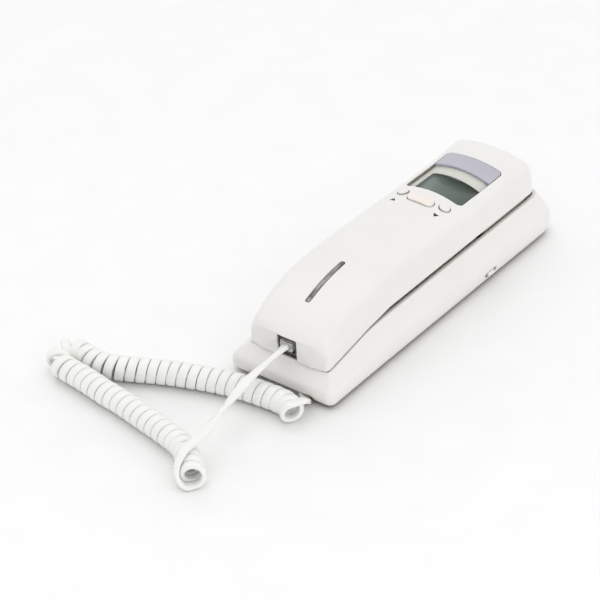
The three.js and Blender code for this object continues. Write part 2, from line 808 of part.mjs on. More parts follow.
function buildCord() {
  const cord = new THREE.Group();
  cord.add(piece('handset_plug', modularPlug(0, -101.5, handsetJackZ - 1.7, 5), clear));
  cord.add(piece('base_plug', modularPlug(cordJackX, -95.3, 3.8, 4.4), clear));
  cord.add(piece('cord_lead', tube(smooth(leadPoints), leadRadius, 8, 14), white));
  cord.add(piece('coil_near', coilStretch(0, nearEnd), white));
  cord.add(piece('coil_bend', coilStretch(nearEnd + splitGap, bendEnd), white));
  cord.add(piece('coil_far', coilStretch(bendEnd + splitGap, 1), white));
  cord.add(piece('cord_tail', tube(smooth(tailPoints), leadRadius, 8, 8), white));
  return cord;
}

const phone = new THREE.Group();
phone.add(buildBase(), buildHandset(), buildCord());

export default phone;
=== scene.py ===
"""Looks of a slimline corded telephone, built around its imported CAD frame.

Lengths are in millimetres until a mesh is made, and metres after that. +Z is up, -Y is the
cord end, +Y the ear end.
"""

import json
import math

import bmesh
import bpy
import numpy as np
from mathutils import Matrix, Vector


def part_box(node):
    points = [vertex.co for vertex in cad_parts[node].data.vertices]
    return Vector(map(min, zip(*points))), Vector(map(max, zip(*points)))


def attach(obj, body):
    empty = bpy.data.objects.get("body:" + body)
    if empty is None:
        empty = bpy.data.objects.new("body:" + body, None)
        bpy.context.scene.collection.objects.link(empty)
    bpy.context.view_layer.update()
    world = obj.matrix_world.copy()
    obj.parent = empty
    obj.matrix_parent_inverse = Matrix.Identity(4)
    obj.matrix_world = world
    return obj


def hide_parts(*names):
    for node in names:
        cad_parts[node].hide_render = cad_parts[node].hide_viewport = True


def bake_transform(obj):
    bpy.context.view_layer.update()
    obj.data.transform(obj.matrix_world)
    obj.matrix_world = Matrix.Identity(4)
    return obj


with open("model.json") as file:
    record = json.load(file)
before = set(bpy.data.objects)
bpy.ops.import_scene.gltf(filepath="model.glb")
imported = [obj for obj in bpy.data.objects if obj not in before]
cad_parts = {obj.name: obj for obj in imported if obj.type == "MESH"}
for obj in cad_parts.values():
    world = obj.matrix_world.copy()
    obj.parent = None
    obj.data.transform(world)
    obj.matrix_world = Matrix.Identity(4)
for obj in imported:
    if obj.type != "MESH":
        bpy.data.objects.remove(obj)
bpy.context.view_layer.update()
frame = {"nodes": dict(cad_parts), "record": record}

MM = 0.001
nodes = frame["nodes"]


# ------------------------------------------------------------------ sizes from the frame

def extent(node):
    """Lowest and highest corner of a CAD node, in millimetres."""
    low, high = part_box(node)
    return np.array(low) / MM, np.array(high) / MM


base_low, base_high = extent("cradle_shell")
back_high = extent("back_shell")[1]
band_low, band_high = extent("display_band")
window_low, window_high = extent("display_window")
lamp_low, lamp_high = extent("lamp_lens")
set_low, set_high = extent("set_key")
up_low, up_high = extent("up_key")
down_low, down_high = extent("down_key")
knob_low, knob_high = extent("ringer_knob")
hook_low, hook_high = extent("hook_plunger")

GAP = 0.3
WALL = 2.2
BASE_HALF_WIDTH = base_high[0]
BASE_HALF_LENGTH = base_high[1]
BASE_BOTTOM = base_low[2]
RIM_HIGH = base_high[2]
RIM_LOW = 17.0
RIM_BEVEL = 7.6
FRONT_CORNER = 5.0
REAR_CORNER = 13.5
HANDSET_HALF_WIDTH = 25.0
HANDSET_FRONT = -99.3
HANDSET_BOW = 2.5
HANDSET_REAR = back_high[1]
HANDSET_EDGE = 27.5
EAR_ROUND = 14.0
FRONT_ROUND = 4.0
EDGE_BREAK = 0.25           # the moulded lower edge of the handset is broken by this much
FACE_HALF_WIDTH = 22.3
BULGE_LEVEL = 14.5
WELL_CLEAR = 0.6
MIDDLE_FLOOR = 19.0
COIL_RADIUS = 6.8

# Display: how far below the back's surface each layer starts and ends.
WINDOW_DEPTHS = (0.1, 1.6)
BORDER_DEPTHS = (1.8, 2.3)
PANEL_CORNER = 2.2
# The border's opening: how much smaller than the glass, and how far it is set to one side.
BORDER_LAP = (1.2, 2.4)
BORDER_SHIFT = (2, -2.7)
KEY_STANDS_PROUD = 0.9


# ------------------------------------------------------------------ camera, light and floor

def add_camera():
    """A long lens, looking down on the phone from its front right."""
    data = bpy.data.cameras.new("camera")
    data.lens = 249.06
    data.sensor_width = 36
    data.clip_end = 20
    camera = bpy.data.objects.new("camera", data)
    camera.location = (1.0251, -1.5045, 1.2557)
    camera.rotation_euler = (math.radians(90 - 34.66), 0, math.radians(35.91))
    bpy.context.scene.collection.objects.link(camera)
    bpy.context.scene.camera = camera


def add_area_light(name, place, size, power):
    data = bpy.data.lights.new(name, "AREA")
    data.shape = "DISK"
    data.size = size
    data.energy = power
    light = bpy.data.objects.new(name, data)
    light.location = place
    light.rotation_euler = (-Vector(place)).to_track_quat("-Z", "Y").to_euler()
    bpy.context.scene.collection.objects.link(light)


def add_studio():
    """A white surround, a broad light from above, and a weaker one from the right."""
    world = bpy.data.worlds.new("studio")
    world.use_nodes = True
    background = world.node_tree.nodes["Background"]
    background.inputs["Color"].default_value = (1, 1, 1, 1)
    background.inputs["Strength"].default_value = 1.0
    bpy.context.scene.world = world
    bpy.context.scene.view_settings.view_transform = "Standard"
    add_area_light("key_light", (-0.7, 0.3, 1.9), 1.6, 3)
    add_area_light("side_light", (1.7, -0.5, 0.9), 1.4, 3.5)


# ------------------------------------------------------------------ materials

def rgb(*colour):
    return (*colour, 1)


def bare_material(name):
    """A material with its tree, its Principled shader and its object coordinates."""
    material = bpy.data.materials.new(name)
    material.use_nodes = True
    tree = material.node_tree
    coordinates = tree.nodes.new("ShaderNodeTexCoord").outputs["Object"]
    return material, tree, tree.nodes["Principled BSDF"], coordinates


def noise(tree, coordinates, grain, detail=3, stretch=(1, 1, 1)):
    """Noise whose grain is about that many millimetres across."""
    mapping = tree.nodes.new("ShaderNodeMapping")
    mapping.inputs["Scale"].default_value = stretch
    tree.links.new(coordinates, mapping.inputs["Vector"])
    texture = tree.nodes.new("ShaderNodeTexNoise")
    texture.inputs["Scale"].default_value = 1 / (grain * MM)
    texture.inputs["Detail"].default_value = detail
    tree.links.new(mapping.outputs["Vector"], texture.inputs["Vector"])
    return texture.outputs["Fac"]


def ramp(tree, factor, *stops):
    """A colour ramp through (position, colour) stops."""
    node = tree.nodes.new("ShaderNodeValToRGB")
    elements = node.color_ramp.elements
    elements[0].position, elements[0].color = stops[0]
    elements[1].position, elements[1].color = stops[-1]
    for position, colour in stops[1:-1]:
        elements.new(position).color = colour
    tree.links.new(factor, node.inputs["Fac"])
    return node.outputs["Color"]


def between(tree, factor, low, high):
    """A factor mapped to a range of numbers."""
    node = tree.nodes.new("ShaderNodeMapRange")
    node.inputs["To Min"].default_value = low
    node.inputs["To Max"].default_value = high
    tree.links.new(factor, node.inputs["Value"])
    return node.outputs["Result"]


def bump(tree, shader, height, distance, strength=1.0):
    node = tree.nodes.new("ShaderNodeBump")
    node.inputs["Strength"].default_value = strength
    node.inputs["Distance"].default_value = distance * MM
    tree.links.new(height, node.inputs["Height"])
    tree.links.new(node.outputs["Normal"], shader.inputs["Normal"])


def moulded(
    name, colour, roughness, grain=0.5, depth=0.004, vary=0.02, metallic=0, stretch=(1, 1, 1),
):
    """Moulded or finished stock: a fine surface grain, with slow shifts of tone and gloss."""
    material, tree, shader, coordinates = bare_material(name)
    dark = rgb(*[c * (1 - vary) for c in colour])
    tone = ramp(tree, noise(tree, coordinates, 25), (0.35, dark), (0.65, rgb(*colour)))
    tree.links.new(tone, shader.inputs["Base Color"])
    shine = between(tree, noise(tree, coordinates, 8), roughness - 0.05, roughness + 0.05)
    tree.links.new(shine, shader.inputs["Roughness"])
    shader.inputs["Metallic"].default_value = metallic
    bump(tree, shader, noise(tree, coordinates, grain, 2, stretch), depth)
    return material


def shell_plastic(name, colour, reach):
    """White moulded plastic with painted shade: its colour turns warm and brown where a seam or a
    gap closes in on it.
    """
    material, tree, shader, coordinates = bare_material(name)
    painted_shade_occlusion = tree.nodes.new("ShaderNodeAmbientOcclusion")
    painted_shade_occlusion.samples = 8
    painted_shade_occlusion.inputs["Distance"].default_value = reach * MM
    # Painted shade: ambient occlusion darkens the colour to brown in seams and gaps, and to tan in
    # wider gaps.
    seam = ramp(
        tree, painted_shade_occlusion.outputs["AO"],
        (0.14, rgb(0.15, 0.11, 0.075)),
        (0.34, rgb(0.45, 0.39, 0.32)),
        (0.46, rgb(0.60, 0.55, 0.48)),
        (0.58, rgb(*colour)),
    )
    patchy = tree.nodes.new("ShaderNodeMix")
    patchy.data_type = "RGBA"
    patchy.blend_type = "MULTIPLY"
    patchy.inputs["Factor"].default_value = 1
    tone = ramp(
        tree, noise(tree, coordinates, 25),
        (0.35, rgb(0.985, 0.98, 0.975)),
        (0.65, rgb(1, 1, 1)),
    )
    tree.links.new(seam, patchy.inputs["A"])
    tree.links.new(tone, patchy.inputs["B"])
    tree.links.new(patchy.outputs["Result"], shader.inputs["Base Color"])
    shine = between(tree, noise(tree, coordinates, 8), 0.28, 0.38)
    tree.links.new(shine, shader.inputs["Roughness"])
    bump(tree, shader, noise(tree, coordinates, 0.5, 2), 0.004)
    return material


def display_liquid():
    """Unlit liquid crystal: grey-teal at the left, darker green towards the right."""
    material, tree, shader, coordinates = bare_material("display_glass")
    axes = tree.nodes.new("ShaderNodeSeparateXYZ")
    tree.links.new(coordinates, axes.inputs["Vector"])
    low, high = extent("lcd_glass")
    across = tree.nodes.new("ShaderNodeMapRange")
    across.inputs["From Min"].default_value = low[0] * MM
    across.inputs["From Max"].default_value = high[0] * MM
    tree.links.new(axes.outputs["X"], across.inputs["Value"])
    slope = tree.nodes.new("ShaderNodeMath")
    slope.operation = "MULTIPLY_ADD"
    slope.inputs[1].default_value = 0.25
    tree.links.new(noise(tree, coordinates, 12), slope.inputs[0])
    tree.links.new(across.outputs["Result"], slope.inputs[2])
    tone = ramp(
        tree, slope.outputs["Value"],
        (0.15, rgb(0.26, 0.30, 0.28)),
        (0.5, rgb(0.13, 0.165, 0.135)),
        (1.0, rgb(0.085, 0.11, 0.085)),
    )
    tree.links.new(tone, shader.inputs["Base Color"])
    shader.inputs["Roughness"].default_value = 0.25
    bump(tree, shader, noise(tree, coordinates, 0.3, 1), 0.001)
    return material


def thin_clear(name, tint, roughness):
    """Thin clear plastic: lets what is behind it show, and reflects more at a slant."""
    material, tree, shader, coordinates = bare_material(name)
    tree.nodes.remove(shader)
    through = tree.nodes.new("ShaderNodeBsdfTransparent")
    through.inputs["Color"].default_value = rgb(*tint)
    gloss = tree.nodes.new("ShaderNodeBsdfGlossy")
    shine = between(tree, noise(tree, coordinates, 6), roughness, roughness + 0.06)
    tree.links.new(shine, gloss.inputs["Roughness"])
    fresnel = tree.nodes.new("ShaderNodeFresnel")
    fresnel.inputs["IOR"].default_value = 1.35
    far_side = tree.nodes.new("ShaderNodeNewGeometry").outputs["Backfacing"]
    front_only = tree.nodes.new("ShaderNodeMath")
    front_only.operation = "SUBTRACT"
    front_only.use_clamp = True
    tree.links.new(fresnel.outputs["Fac"], front_only.inputs[0])
    tree.links.new(far_side, front_only.inputs[1])
    mix = tree.nodes.new("ShaderNodeMixShader")
    tree.links.new(front_only.outputs["Value"], mix.inputs["Fac"])
    tree.links.new(through.outputs["BSDF"], mix.inputs[1])
    tree.links.new(gloss.outputs["BSDF"], mix.inputs[2])
    tree.links.new(mix.outputs["Shader"], tree.nodes["Material Output"].inputs["Surface"])
    return material


def milky_clear(name):
    """Clear plastic seen in bulk, as in a plug: half see-through, its body catching the light."""
    material, tree, shader, coordinates = bare_material(name)
    tone = ramp(
        tree, noise(tree, coordinates, 1.5),
        (0.4, rgb(0.5, 0.5, 0.49)),
        (0.6, rgb(0.8, 0.8, 0.78)),
    )
    tree.links.new(tone, shader.inputs["Base Color"])
    shader.inputs["Alpha"].default_value = 0.62
    shader.inputs["Roughness"].default_value = 0.12
    bump(tree, shader, noise(tree, coordinates, 0.8, 2), 0.01)
    return material


def smoked_lens():
    """The lamp strip: grey clear plastic with pale streaks along it."""
    material, tree, shader, coordinates = bare_material("lamp_strip")
    streaks = noise(tree, coordinates, 3.5, 3, stretch=(1, 0.45, 1))
    tone = ramp(tree, streaks, (0.38, rgb(0.10, 0.095, 0.09)), (0.66, rgb(0.36, 0.35, 0.34)))
    tree.links.new(tone, shader.inputs["Base Color"])
    shader.inputs["Roughness"].default_value = 0.15
    bump(tree, shader, streaks, 0.05)
    return material


def board():
    """Green solder mask with the paler lines of copper tracks under it."""
    material, tree, shader, coordinates = bare_material("circuit_board")
    tracks = tree.nodes.new("ShaderNodeTexBrick")
    tracks.inputs["Scale"].default_value = 1 / (4 * MM)
    tracks.inputs["Mortar Size"].default_value = 0.06
    tracks.inputs["Color1"].default_value = rgb(0.03, 0.14, 0.06)
    tracks.inputs["Color2"].default_value = rgb(0.035, 0.16, 0.07)
    tracks.inputs["Mortar"].default_value = rgb(0.08, 0.27, 0.12)
    tree.links.new(coordinates, tracks.inputs["Vector"])
    tree.links.new(tracks.outputs["Color"], shader.inputs["Base Color"])
    shader.inputs["Roughness"].default_value = 0.35
    bump(tree, shader, tracks.outputs["Fac"], 0.03)
    return material


MATERIALS = {
    "white_plastic": shell_plastic("white_plastic", (0.80, 0.792, 0.775), 5),
    "cream_plastic": moulded("cream_plastic", (0.86, 0.80, 0.745), 0.34),
    "silver_band": moulded("silver_band", (0.47, 0.465, 0.53), 0.33, grain=0.15, vary=0.06),
    "clear_plastic": thin_clear("clear_plastic", (0.93, 0.95, 0.945), 0.03),
    "lamp": moulded("lamp", (0.62, 0.6, 0.57), 0.2),
    "display_glass": display_liquid(),
    "rubber": moulded("rubber", (0.70, 0.68, 0.65), 0.75, grain=0.3, depth=0.02),
    "black_plastic": moulded("black_plastic", (0.075, 0.073, 0.07), 0.45),
    "circuit_board": board(),
    "steel": moulded("steel", (0.55, 0.56, 0.58), 0.32, grain=0.2, metallic=1, stretch=(1, 0.1, 1)),
    "contact_metal": moulded("contact_metal", (0.72, 0.55, 0.28), 0.28, grain=0.2, metallic=1),
    "cord_cover": moulded("cord_cover", (0.86, 0.855, 0.83), 0.27, grain=0.6),
}
# The face shell's tan is partly its own cream colour and partly painted shade for the recess under
# the handset's edge.
FACE = moulded("face_tan_and_painted_shade", (0.60, 0.55, 0.49), 0.4)
PLUG = milky_clear("plug_plastic")
SMOKED = smoked_lens()
INK = moulded("ink", (0.012, 0.012, 0.014), 0.4)


# ------------------------------------------------------------------ mesh tools

def new_piece(name, points, faces, material):
    """A mesh object from points in millimetres, its faces turned outwards."""
    mesh = bpy.data.meshes.new(name)
    mesh.from_pydata([tuple(float(c) * MM for c in point) for point in points], [], faces)
    work = bmesh.new()
    work.from_mesh(mesh)
    bmesh.ops.recalc_face_normals(work, faces=work.faces)
    work.to_mesh(mesh)
    work.free()
    mesh.polygons.foreach_set("use_smooth", [True] * len(mesh.polygons))
    mesh.materials.append(material)
    piece = bpy.data.objects.new(name, mesh)
    bpy.context.scene.collection.objects.link(piece)
    return piece


def loft(name, rings, material):
    """A closed body through rings that all have the same number of points."""
    count = len(rings[0])
    points = [point for ring in rings for point in ring]
    faces = [tuple(range(count)), tuple(range(len(points) - count, len(points)))]
    for i in range(len(rings) - 1):
        for j in range(count):
            k = (j + 1) % count
            faces.append((i * count + j, i * count + k, (i + 1) * count + k, (i + 1) * count + j))
    return new_piece(name, points, faces, material)


def rounded_outline(width, length, radius, x, y, steps=10):
    """A rounded rectangle round a point, as a list of (x, y)."""
    outline = []
    for quarter, (sx, sy) in enumerate([(1, 1), (-1, 1), (-1, -1), (1, -1)]):
        middle = (x + sx * (width / 2 - radius), y + sy * (length / 2 - radius))
        for i in range(steps + 1):
            angle = math.pi / 2 * (quarter + i / steps)
            outline.append((
                middle[0] + radius * math.cos(angle),
                middle[1] + radius * math.sin(angle),
            ))
    return outline


def tablet(width, length, radius, x, y, low, high):
    """An upright prism with a rounded rectangular plan, for cutting with."""
    outline = rounded_outline(width, length, radius, x, y)
    rings = [[(px, py, z) for px, py in outline] for z in (low, high)]
    return loft("cutter", rings, MATERIALS["white_plastic"])


def block(low, high):
    """A box for cutting with."""
    (x0, y0, z0), (x1, y1, z1) = low, high
    rings = [[(x0, y0, z), (x1, y0, z), (x1, y1, z), (x0, y1, z)] for z in (z0, z1)]
    return loft("cutter", rings, MATERIALS["white_plastic"])


def cross_prism(outline, half_width):
    """A prism across the phone from an outline of (y, z) points, for cutting with."""
    rings = [[(x, y, z) for y, z in outline] for x in (-half_width, half_width)]
    return loft("cutter", rings, MATERIALS["white_plastic"])


def settle(piece):
    """Replaces a piece's mesh by what its modifiers make of it."""
    graph = bpy.context.evaluated_depsgraph_get()
    graph.update()
    mesh = bpy.data.meshes.new_from_object(piece.evaluated_get(graph))
    piece.modifiers.clear()
    piece.data = mesh
    return piece


def combine(piece, operation, *tools):
    """Cuts a piece by the tools, or keeps what it shares with them. The tools are used up."""
    for tool in tools:
        modifier = piece.modifiers.new("combine", "BOOLEAN")
        modifier.operation = operation
        modifier.solver = "MANIFOLD"
        modifier.object = tool
    settle(piece)
    for tool in tools:
        bpy.data.objects.remove(tool)
    return piece


def mould(piece, voxel, rounds, share):
    """Gives a cut body the softened edges of a moulding."""
    skin = piece.modifiers.new("skin", "REMESH")
    skin.mode = "VOXEL"
    skin.voxel_size = voxel * MM
    skin.use_smooth_shade = True
    soften = piece.modifiers.new("soften", "SMOOTH")
    soften.factor = 0.5
    soften.iterations = rounds
    thin = piece.modifiers.new("thin", "DECIMATE")
    thin.ratio = share
    settle(piece)
    piece.data.polygons.foreach_set("use_smooth", [True] * len(piece.data.polygons))
    return piece


def dress(piece, material):
    """Gives a piece one material in place of those it has."""
    piece.data.materials.clear()
    piece.data.materials.append(material)


def profile(points, soft):
    """The height along a curve near [place, height] points, averaged over soft to each side."""
    places, heights = zip(*points)
    around = np.linspace(-soft, soft, 13)
    return lambda place: float(np.interp(place + around, places, heights).mean())


def corner_pull(distance, radius):
    """How far a round corner pulls a side in, at a distance from the end."""
    inside = max(radius - distance, 0)
    return radius - math.sqrt(max(radius * radius - inside * inside, 0))


# ------------------------------------------------------------------ handset back shell

back_height = profile([
    (-102, 30), (-99.5, 33.2), (-92, 38.6), (-82.6, 43), (-72, 46.9), (-62, 48.9),
    (-50, 50.1), (-28, 51), (5, 51), (40, 50.4), (83, 49.4),
], 3)
back_crown = profile([(-70, 0.6), (-40, 3), (0, 4.8), (30, 6.3), (60, 6.3), (84, 4)], 8)


def handset_section(y, half_width, high, crown, bow):
    """One cross-section: a crowned top, round shoulders, and sides widening to the edge."""
    shoulder, flare, low = 4.5, 1.6, 8.0
    top = half_width - flare - shoulder
    half = []
    for i in range(14):
        x = top * i / 14
        half.append((x, high - crown * (x / half_width) ** 2))
    for i in range(11):
        angle = math.pi / 2 * i / 10
        x = top + shoulder * math.sin(angle)
        drop = shoulder * (1 - math.cos(angle))
        half.append((x, high - crown * (x / half_width) ** 2 - drop))
    shoulder_low = half[-1][1]
    for i in range(1, 5):
        share = i / 4
        half.append((
            half_width - flare * (1 - share),
            shoulder_low + (HANDSET_EDGE - shoulder_low) * share,
        ))
    half.append((half_width, low))
    half.append((half_width / 3, low))
    mirrored = [(-x, z) for x, z in reversed(half[1:])]
    return [(x, y - bow * (1 - (x / half_width) ** 2), z) for x, z in half + mirrored]


def handset_form(inset):
    """The handset's outer form, pulled in by an inset."""
    middle = (HANDSET_REAR + HANDSET_FRONT) / 2
    half = (HANDSET_REAR - HANDSET_FRONT) / 2
    rings = []
    for turn in np.linspace(-math.pi / 2, math.pi / 2, 130):
        y = middle + half * math.sin(turn)
        from_rear = HANDSET_REAR - y
        from_front = y - HANDSET_FRONT
        drop = corner_pull(from_rear, EAR_ROUND) if from_rear < EAR_ROUND else 0
        width = HANDSET_HALF_WIDTH - corner_pull(from_rear + 0.4, 10)
        width -= corner_pull(from_front + 0.4, 3.5)
        rings.append(handset_section(
            middle + (y - middle) * (half - inset) / half,
            width - inset,
            max(back_height(y) - drop - corner_pull(from_front + 0.4, FRONT_ROUND), 31) - inset,
            back_crown(y),
            HANDSET_BOW * max(0, 1 - from_front / 25),
        ))
    return loft("handset_form", rings, MATERIALS["white_plastic"])


def back_surface(x, y):
    """Height of the handset's back."""
    return back_height(y) - back_crown(y) * (x / HANDSET_HALF_WIDTH) ** 2


def over_back(low, high, radius, clearance):
    """A cutter through the back, round the plan of a CAD node's box."""
    return tablet(
        high[0] - low[0] + 2 * clearance, high[1] - low[1] + 2 * clearance, radius,
        (low[0] + high[0]) / 2, (low[1] + high[1]) / 2, 36, 60,
    )


def make_back_shell():
    edge = [
        (-120, RIM_LOW + GAP + EDGE_BREAK), (-99, RIM_LOW + GAP + EDGE_BREAK),
        (-62, RIM_HIGH + GAP + EDGE_BREAK),
        (-55, 25.7), (-43, HANDSET_EDGE), (120, HANDSET_EDGE),
    ]
    display_low = np.minimum(band_low, window_low)
    display_high = np.maximum(band_high, window_high)
    shell = combine(
        handset_form(0), "DIFFERENCE",
        handset_form(WALL),
        cross_prism([(-120, -5), *edge, (120, -5)], 40),
        block((-6, -110, 10), (6, -95, 30.6)),
        over_back(display_low, display_high, 2.5, GAP),
        over_back(lamp_low, lamp_high, (lamp_high[0] - lamp_low[0]) / 2, GAP),
        over_back(set_low, set_high, 3.2, GAP),
        over_back(up_low, up_high, 3.0, GAP),
        over_back(down_low, down_high, 3.0, GAP),
    )
    shell.name = "handset_back"
    mould(shell, 0.42, 4, 0.22)
    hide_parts("back_shell")
    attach(shell, "handset")


# ------------------------------------------------------------------ display, lamp and back keys

def back_layer(name, outer, inner, cutter, voxel, rounds, share):
    """A piece of the back between two depths below its surface."""
    piece = combine(handset_form(outer), "DIFFERENCE", handset_form(inner))
    combine(piece, "INTERSECT", cutter)
    piece.name = name
    return mould(piece, voxel, rounds, share)


def make_display():
    plan = (
        window_high[0] - window_low[0], band_high[1] - window_low[1], PANEL_CORNER,
        0, (band_high[1] + window_low[1]) / 2, 36, 60,
    )
    seam = (band_low[1] + window_high[1]) / 2
    for name, node, slot, near, far in (
        ("silver_band", "display_band", "silver_band", seam + 0.05, 90),
        ("clear_window", "display_window", "clear_plastic", 0, seam - 0.05),
    ):
        part = combine(tablet(*plan), "INTERSECT", block((-30, near, 30), (30, far, 70)))
        piece = back_layer(name, *WINDOW_DEPTHS, part, 0.25, 3, 0.3)
        dress(piece, MATERIALS[slot])
        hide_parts(node)
        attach(piece, "handset")


def make_window_border():
    """The cream border printed under the window, its opening set for eyes on the key side."""
    low, high = extent("lcd_glass")
    opening = tablet(
        high[0] - low[0] - BORDER_LAP[0], high[1] - low[1] - BORDER_LAP[1], 1.2,
        (low[0] + high[0]) / 2 + BORDER_SHIFT[0], (low[1] + high[1]) / 2 + BORDER_SHIFT[1], 30, 70,
    )
    plan = combine(tablet(
        window_high[0] - window_low[0], band_high[1] - window_low[1], PANEL_CORNER,
        0, (band_high[1] + window_low[1]) / 2, 36, 60,
    ), "DIFFERENCE", opening)
    border = back_layer("window_border", *BORDER_DEPTHS, plan, 0.16, 2, 0.3)
    dress(border, MATERIALS["cream_plastic"])
    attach(border, "handset")


def make_back_keys():
    """The three keys: softly rounded caps standing a little proud of the back."""
    for name, node, slot, low, high, radius in (
        ("key_up", "up_key", "white_plastic", up_low, up_high, 2.7),
        ("key_set", "set_key", "cream_plastic", set_low, set_high, 2.9),
        ("key_down", "down_key", "white_plastic", down_low, down_high, 2.7),
    ):
        cap = back_layer(name, -KEY_STANDS_PROUD, 4, over_back(low, high, radius, 0), 0.2, 12, 0.35)
        dress(cap, MATERIALS[slot])
        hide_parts(node)
        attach(cap, node)


def make_lamp_strip():
    radius = (lamp_high[0] - lamp_low[0]) / 2 - 0.05
    plan = over_back(lamp_low, lamp_high, radius, 0)
    lens = back_layer("lamp_strip", 0.2, 2.2, plan, 0.2, 3, 0.4)
    dress(lens, SMOKED)
    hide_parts("lamp_lens")
    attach(lens, "handset")


def make_symbols():
    """The plain triangles printed below the two round keys, one up and one down."""
    half_width, half_height, sunk, proud = 1.7, 1.35, 0.3, 0.05
    for name, low, high, way in (
        ("symbol_up", up_low, up_high, 1),
        ("symbol_down", down_low, down_high, -1),
    ):
        x = (low[0] + high[0]) / 2
        y = (low[1] + high[1]) / 2 - 9.1
        corners = [
            (x - half_width, y - way * half_height),
            (x + half_width, y - way * half_height),
            (x, y + way * half_height),
        ]
        rings = [
            [(px, py, back_surface(px, py) + up) for px, py in corners]
            for up in (-sunk, proud)
        ]
        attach(loft(name, rings, INK), "handset")


# ------------------------------------------------------------------ cradle shell

rim_line = profile([
    (-99, RIM_LOW), (-88, 19), (-76, 21.4), (-66, 23.3), (-60, RIM_HIGH - 0.1), (-54, RIM_HIGH),
], 3)
base_side = profile([
    (0, 2.5), (0.08, 1), (0.2, 0.2), (0.35, 0), (0.5, 0.5), (0.6, 1.4), (0.7, 3),
    (0.82, 5), (0.93, 6.9), (1, RIM_BEVEL),
], 0.035)


def base_ring(inset, share):
    """A level outline of the base, at a share of the height up to its rim."""
    x = BASE_HALF_WIDTH - inset
    y = BASE_HALF_LENGTH - inset
    rear = max(REAR_CORNER - inset, 1)
    front = max(FRONT_CORNER - inset, 1)

    def at(px, py):
        return (px, py, BASE_BOTTOM + share * (rim_line(py) - BASE_BOTTOM))

    def corner(cx, cy, radius, quarter):
        turns = [math.pi / 2 * (quarter + i / 14) for i in range(15)]
        return [at(cx + radius * math.cos(t), cy + radius * math.sin(t)) for t in turns]

    side = np.linspace(-y + front, y - rear, 46)[1:-1]
    return [
        *[at(x, along) for along in side],
        *corner(x - rear, y - rear, rear, 0),
        *corner(-x + rear, y - rear, rear, 1),
        *[at(-x, along) for along in reversed(side)],
        *corner(-x + front, -y + front, front, 2),
        *corner(x - front, -y + front, front, 3),
    ]


def base_form(inset, below=0):
    """The base's outer form, pulled in by an inset and reaching below its bottom edge."""
    rings = [base_ring(RIM_BEVEL + inset + 3, 1)]
    for share in np.linspace(1, 0, 40):
        rings.append(base_ring(base_side(share) + inset, share))
    if below:
        rings.append([(x, y, z - below) for x, y, z in rings[-1]])
    return loft("base_form", rings, MATERIALS["white_plastic"])


def cradle_well(grow):
    floor = BULGE_LEVEL - WELL_CLEAR - grow
    outline = [
        (-97.2 - grow, 60), (-97.2 - grow, 17.5 - grow), (-94, floor), (-67, floor),
        (-60, MIDDLE_FLOOR - 1 - grow), (-56, MIDDLE_FLOOR - grow), (45, MIDDLE_FLOOR - grow),
        (50, MIDDLE_FLOOR - 1.5 - grow), (55, floor), (88, floor),
        (96.6 + grow, 18 - grow), (96.6 + grow, 60),
    ]
    width = 2 * (FACE_HALF_WIDTH + WELL_CLEAR + grow)
    plan = tablet(width, 193.8 + 2 * grow, 4 + grow, 0, -0.3, 0, 60)
    return combine(cross_prism(outline, width / 2), "INTERSECT", plan)


def make_cradle():
    hollow = combine(base_form(WALL, below=3), "DIFFERENCE", cradle_well(WALL))
    hook_x, hook_y = (hook_low[:2] + hook_high[:2]) / 2
    knob_reach = 2.5 + GAP
    shell = combine(
        base_form(0), "DIFFERENCE",
        cradle_well(0),
        hollow,
        block(
            (20, knob_low[1] - knob_reach, knob_low[2] - GAP),
            (40, knob_high[1] + knob_reach, knob_high[2] + GAP),
        ),
        block((-20, -120, -5), (20, -90, 4.5)),
        tablet(7.6, 7.6, 3.79, hook_x, hook_y, 5, 35),
    )
    shell.name = "cradle"
    mould(shell, 0.45, 4, 0.2)
    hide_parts("cradle_shell")
    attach(shell, "base")


# ------------------------------------------------------------------ handset cord

CORD_WIDTH = 5.0
CORD_THICKNESS = 2.6
CORD_STEP = 1.35             # from one ring of the cord to the next
CORD_SIDES = 16
COIL_TURNS = 47
TURN_STEPS = 13
COIL_START = math.radians(262)
COIL_STOP = math.radians(80)

# The lead, from the handset plug to the top of the coil's near end, and how far it is rolled.
LEAD_POINTS = [
    (0, -101.1, 25.4), (-1.8, -112.6, 22.6), (-3.6, -124, 19.4), (-3.4, -134, 17.6),
    (-2.3, -145, 16.6), (-0.7, -155, 16), (1.5, -168, 15.8), (3.5, -177, 15.7),
]
LEAD_ROLLS = [20, 48, 20, -10, 25, 62, 25, 0]

# The middle line of the coil, on the table.
COIL_ROUTE = [
    (13.6, -198.2), (4.6, -189.3), (-6.7, -181), (-21, -176.6), (-37, -173), (-53, -169.6),
    (-68, -167.2), (-82, -164.4), (-93.5, -162.8), (-101.5, -160.6), (-105.6, -154.6),
    (-102.6, -148.8), (-96.3, -147.4), (-87.7, -148.8), (-78.1, -147.6), (-69, -143.9),
    (-58.5, -138.5), (-48.6, -133.8), (-36.9, -129.4), (-25.6, -125.6), (-13.5, -122.8),
    (-1.5, -121.3), (9.5, -120.6), (16.4, -121.6), (21.6, -125.2),
]

# The way from the lead round the outside of the first turns: along the axis, angle, radius.
ENTRY = [(14, 95, 8.5), (9.5, 125, 8.5), (5, 157, 8.3), (1.5, 190, 7.9), (-0.8, 226, 6.6)]

# The cord's end, from the back of the last turn to its plug under the base.
TAIL_POINTS = [
    (23, -117.6, 10.4), (20.4, -111.4, 5.2), (16, -106.6, 2.2), (11.6, -102, 2.4),
    (9.3, -98.6, 4.6), (9, -94.9, 5.9),
]


